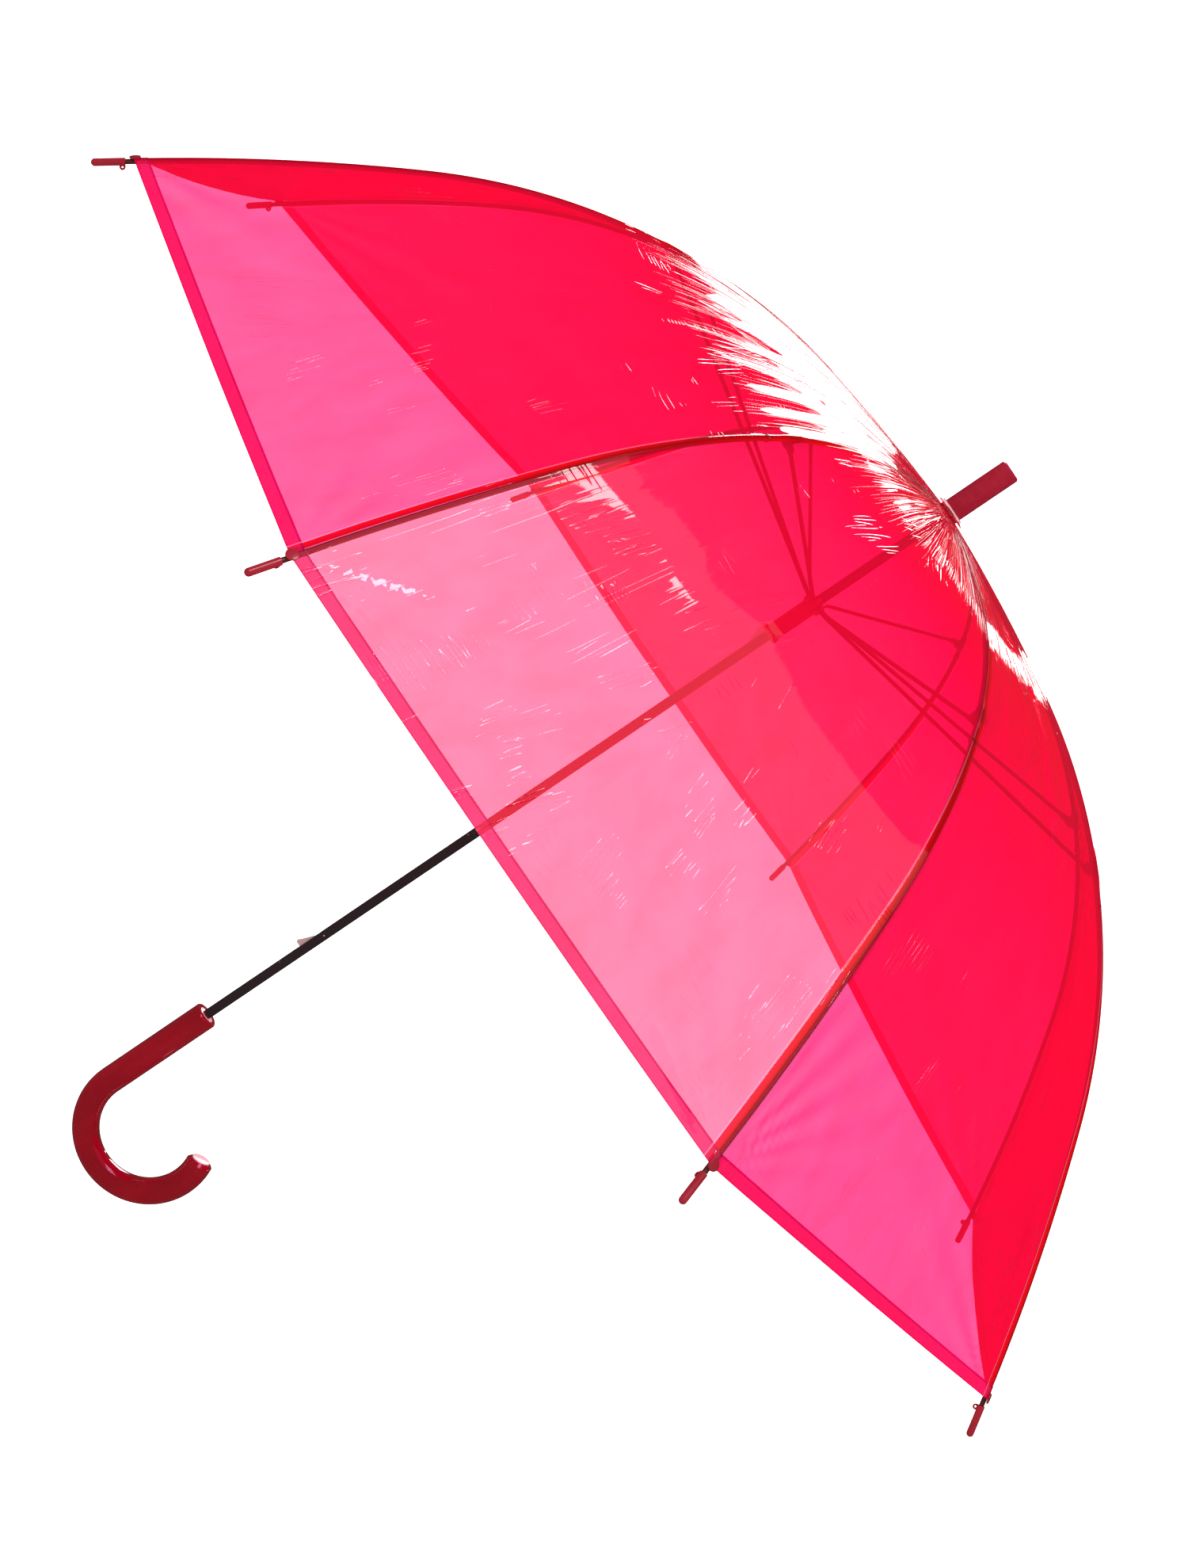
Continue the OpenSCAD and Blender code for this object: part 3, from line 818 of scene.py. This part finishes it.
class UMBRELLA_OT_liner(Operator):
    """Models the pale liner ring in the handle's mouth, and a pale plug in the hook's end whose
    pale colour is a painted reflection of the white surround
    """

    bl_idname = "umbrella.liner"
    bl_label = "Handle liner and plug"

    def execute(self, context):
        pale = moulded_plastic("pale_plastic", context.scene.umbrella_finish.pale[:], 0.3)
        start_primitive()
        bpy.ops.mesh.primitive_cylinder_add(
            vertices=64, radius=0.0064, depth=0.0022, location=(0, 0, MOUTH_Z - 0.0013)
        )
        ring = context.object
        bpy.ops.object.mode_set(mode="EDIT")
        pick_faces(ring, lambda c, n: abs(n.z) > 0.9)
        bpy.ops.mesh.inset(thickness=0.0027)
        pick_faces(ring, lambda c, n: abs(n.z) > 0.9 and math.hypot(c.x, c.y) < 0.0001)
        bpy.ops.mesh.bridge_edge_loops()
        rest_at_origin(ring, "mouth_liner", pale)
        bevel_and_apply(ring, 0.00025)
        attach(ring, "shaft")

        # A pale plug in the hook's cut end: its pale colour is a painted reflection of the white
        # surround on the rounded end
        turn, reach = HOOK_END_TURN, 0.0026
        centre = Vector((HOOK_R + HOOK_R * math.cos(turn), 0, HOOK_Z + HOOK_R * math.sin(turn)))
        way = Vector((-math.sin(turn), 0, math.cos(turn)))
        start_primitive()
        bpy.ops.mesh.primitive_cylinder_add(
            vertices=64, radius=0.0068, depth=0.0014, location=centre + way * reach,
            rotation=(0, -turn, 0),
        )
        reflection_plug = context.object
        bpy.ops.object.mode_set(mode="EDIT")
        pick_faces(reflection_plug, lambda c, n: n.z > 0.9)
        bpy.ops.mesh.inset(thickness=0.0016, depth=0.0003)
        bpy.ops.mesh.inset(thickness=0.0020, depth=-0.0002)
        rest_at_origin(reflection_plug, "hook_end_plug_painted_reflection", pale)
        bevel_and_apply(reflection_plug, 0.0002)
        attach(reflection_plug, "shaft")
        return {"FINISHED"}


class UMBRELLA_OT_corners(Operator):
    """Models the flat tab that joins each canopy corner to its tip cap, once, and copies it"""

    bl_idname = "umbrella.corners"
    bl_label = "Corner tabs"

    def execute(self, context):
        finish, canopy = context.scene.umbrella_finish, context.scene.umbrella_canopy
        material = moulded_plastic("corner_tab_plastic", finish.caps[:], 0.22)
        middle = (0, 0, canopy.lift + TAB_RISE)
        radius, height, slope = (float(v) for v in rib_line(RIB_LENGTH))
        start_primitive()
        bpy.ops.mesh.primitive_cylinder_add(
            vertices=40, radius=TAB_R, depth=TAB_THICKNESS, location=middle
        )
        tab = context.object
        bpy.ops.object.mode_set(mode="EDIT")
        pick_faces(tab, lambda c, n: n.z > 0.9)
        bpy.ops.mesh.inset(thickness=0.0010, depth=0.0002)
        bpy.ops.mesh.inset(thickness=0.0012, depth=-0.0003)
        pick_faces(tab, lambda c, n: n.x > 0.8 and abs(n.z) < 0.3)
        bpy.ops.mesh.extrude_region_move(TRANSFORM_OT_translate={"value": (TAB_REACH, 0, 0)})
        bpy.ops.transform.resize(value=(1, 0.8, 1), center_override=middle)
        rest_at_origin(tab, "corner_tab_0", material)
        bevel_and_apply(tab, 0.00018, 2)
        shape = tab.data.copy()
        bpy.data.objects.remove(tab)
        for rib in range(RIBS):
            mesh = shape.copy()
            place = Matrix.Translation((0, 0, NOTCH_Z)) @ Matrix.Rotation(azimuth(rib), 4, "Z")
            place = place @ Matrix.Translation((radius, 0, height))
            place = place @ Matrix.Rotation(slope, 4, "Y")
            mesh.transform(place @ Matrix.Translation((-TAB_SET_BACK, 0, 0)))
            piece = bpy.data.objects.new(f"corner_tab_{rib}", mesh)
            context.scene.collection.objects.link(piece)
            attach(piece, f"rib_outer_{rib}")
        return {"FINISHED"}


class UMBRELLA_OT_finishes(Operator):
    """Gives the frame's own pieces their plastics, paints and bare metals"""

    bl_idname = "umbrella.finishes"
    bl_label = "Finishes"

    def execute(self, context):
        f = context.scene.umbrella_finish
        paint = painted_wire("rib_paint", f.ribs[:])
        caps = moulded_plastic("cap_plastic", f.caps[:], 0.2)
        fittings = moulded_plastic("fitting_plastic", f.fittings[:], 0.24)
        steel = bare_steel("ring_steel", STEEL)
        catch = moulded_plastic("catch_plastic", CATCH_PLASTIC, 0.35)
        finishes = {
            "shaft": painted_wire("shaft_paint", f.shaft[:], 0.26),
            "handle": moulded_plastic("handle_plastic", f.handle[:], 0.11, 1.0, 1.85),
            "ferrule": moulded_plastic("ferrule_plastic", f.ferrule[:], 0.24),
            "crown_washer": moulded_plastic("washer_plastic", f.pale[:], 0.3),
            "top_notch": fittings,
            "runner": fittings,
            "notch_ring_wire": steel,
            "runner_ring_wire": steel,
            "shaft_pins": steel,
            "top_catch": catch,
            "bottom_catch": catch,
            "crown_film": paint,
        }
        kinds = {
            "rib_inner": paint,
            "rib_outer": paint,
            "rib_clip": paint,
            "stretcher": paint,
            "canopy_panel": paint,
            "tip": caps,
        }
        for name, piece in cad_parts.items():
            material = finishes.get(name) or kinds[name.rsplit("_", 1)[0]]
            piece.data.materials.clear()
            piece.data.materials.append(material)
        return {"FINISHED"}


class UMBRELLA_OT_stage(Operator):
    """Sets the white surround, the soft studio lights and the camera"""

    bl_idname = "umbrella.stage"
    bl_label = "Stage"

    def execute(self, context):
        s = context.scene.umbrella_stage
        scene = context.scene
        scene.view_settings.view_transform = "Standard"
        world = bpy.data.worlds.new("studio")
        scene.world = world
        world.use_nodes = True
        tree = world.node_tree
        tree.nodes.clear()
        path = tree.nodes.new("ShaderNodeLightPath")
        levels = []
        for strength in (s.fill, s.backdrop, s.mirror):
            level = tree.nodes.new("ShaderNodeBackground")
            level.inputs["Color"].default_value = (1, 1, 1, 1)
            level.inputs["Strength"].default_value = strength
            levels.append(level)
        seen = tree.nodes.new("ShaderNodeMixShader")
        tree.links.new(path.outputs["Is Camera Ray"], seen.inputs[0])
        tree.links.new(levels[0].outputs[0], seen.inputs[1])
        tree.links.new(levels[1].outputs[0], seen.inputs[2])
        gloss = tree.nodes.new("ShaderNodeMixShader")
        tree.links.new(path.outputs["Is Glossy Ray"], gloss.inputs[0])
        tree.links.new(seen.outputs[0], gloss.inputs[1])
        tree.links.new(levels[2].outputs[0], gloss.inputs[2])
        output = tree.nodes.new("ShaderNodeOutputWorld")
        tree.links.new(gloss.outputs[0], output.inputs["Surface"])

        for name, around, above, distance, size, radiance in LAMPS:
            turn, rise = math.radians(around), math.radians(above)
            flat = math.cos(rise)
            way = Vector((flat * math.cos(turn), flat * math.sin(turn), math.sin(rise)))
            lamp = bpy.data.lights.new(name, "AREA")
            lamp.shape, lamp.size, lamp.size_y = "RECTANGLE", *size
            lamp.energy = radiance * s.panels * math.pi * size[0] * size[1]
            light = bpy.data.objects.new(name, lamp)
            light.location = LAMP_AIM + distance * way
            light.rotation_euler = (-way).to_track_quat("-Z", "Y").to_euler()
            light.visible_camera = False
            scene.collection.objects.link(light)

        lens = bpy.data.cameras.new("camera")
        lens.lens, lens.sensor_width, lens.sensor_fit = s.lens, SENSOR_WIDTH, "AUTO"
        lens.clip_start, lens.clip_end = 0.01, 200.0
        camera = bpy.data.objects.new("camera", lens)
        forward = CAMERA_RIGHT.cross(CAMERA_DOWN).normalized()
        turned = Matrix((CAMERA_RIGHT, -CAMERA_DOWN, -forward)).transposed()
        camera.matrix_world = Matrix.LocRotScale(CAMERA_PLACE, turned, None)
        scene.collection.objects.link(camera)
        scene.camera = camera
        return {"FINISHED"}


class UMBRELLA_PT_panel(Panel):
    """Lists the steps that dress and stage the umbrella"""

    bl_idname = "UMBRELLA_PT_panel"
    bl_label = "Dome umbrella"
    bl_space_type = "VIEW_3D"
    bl_region_type = "UI"
    bl_category = "Umbrella"

    def draw(self, context):
        for piece in PIECES:
            self.layout.operator(piece.bl_idname)


SETTINGS = (
    ("umbrella_canopy", CanopySettings),
    ("umbrella_finish", FinishSettings),
    ("umbrella_stage", StageSettings),
)
PIECES = (
    UMBRELLA_OT_stage,
    UMBRELLA_OT_finishes,
    UMBRELLA_OT_film,
    UMBRELLA_OT_crown,
    UMBRELLA_OT_liner,
    UMBRELLA_OT_corners,
)


def register():
    for name, group in SETTINGS:
        bpy.utils.register_class(group)
        setattr(bpy.types.Scene, name, PointerProperty(type=group))
    for piece in (*PIECES, UMBRELLA_PT_panel):
        bpy.utils.register_class(piece)


def unregister():
    for piece in reversed((*PIECES, UMBRELLA_PT_panel)):
        bpy.utils.unregister_class(piece)
    for name, group in reversed(SETTINGS):
        delattr(bpy.types.Scene, name)
        bpy.utils.unregister_class(group)


def main():
    register()
    bpy.ops.umbrella.stage()
    bpy.ops.umbrella.finishes()
    bpy.ops.umbrella.film()
    bpy.ops.umbrella.crown()
    bpy.ops.umbrella.liner()
    bpy.ops.umbrella.corners()


if __name__ == "__main__":
    main()
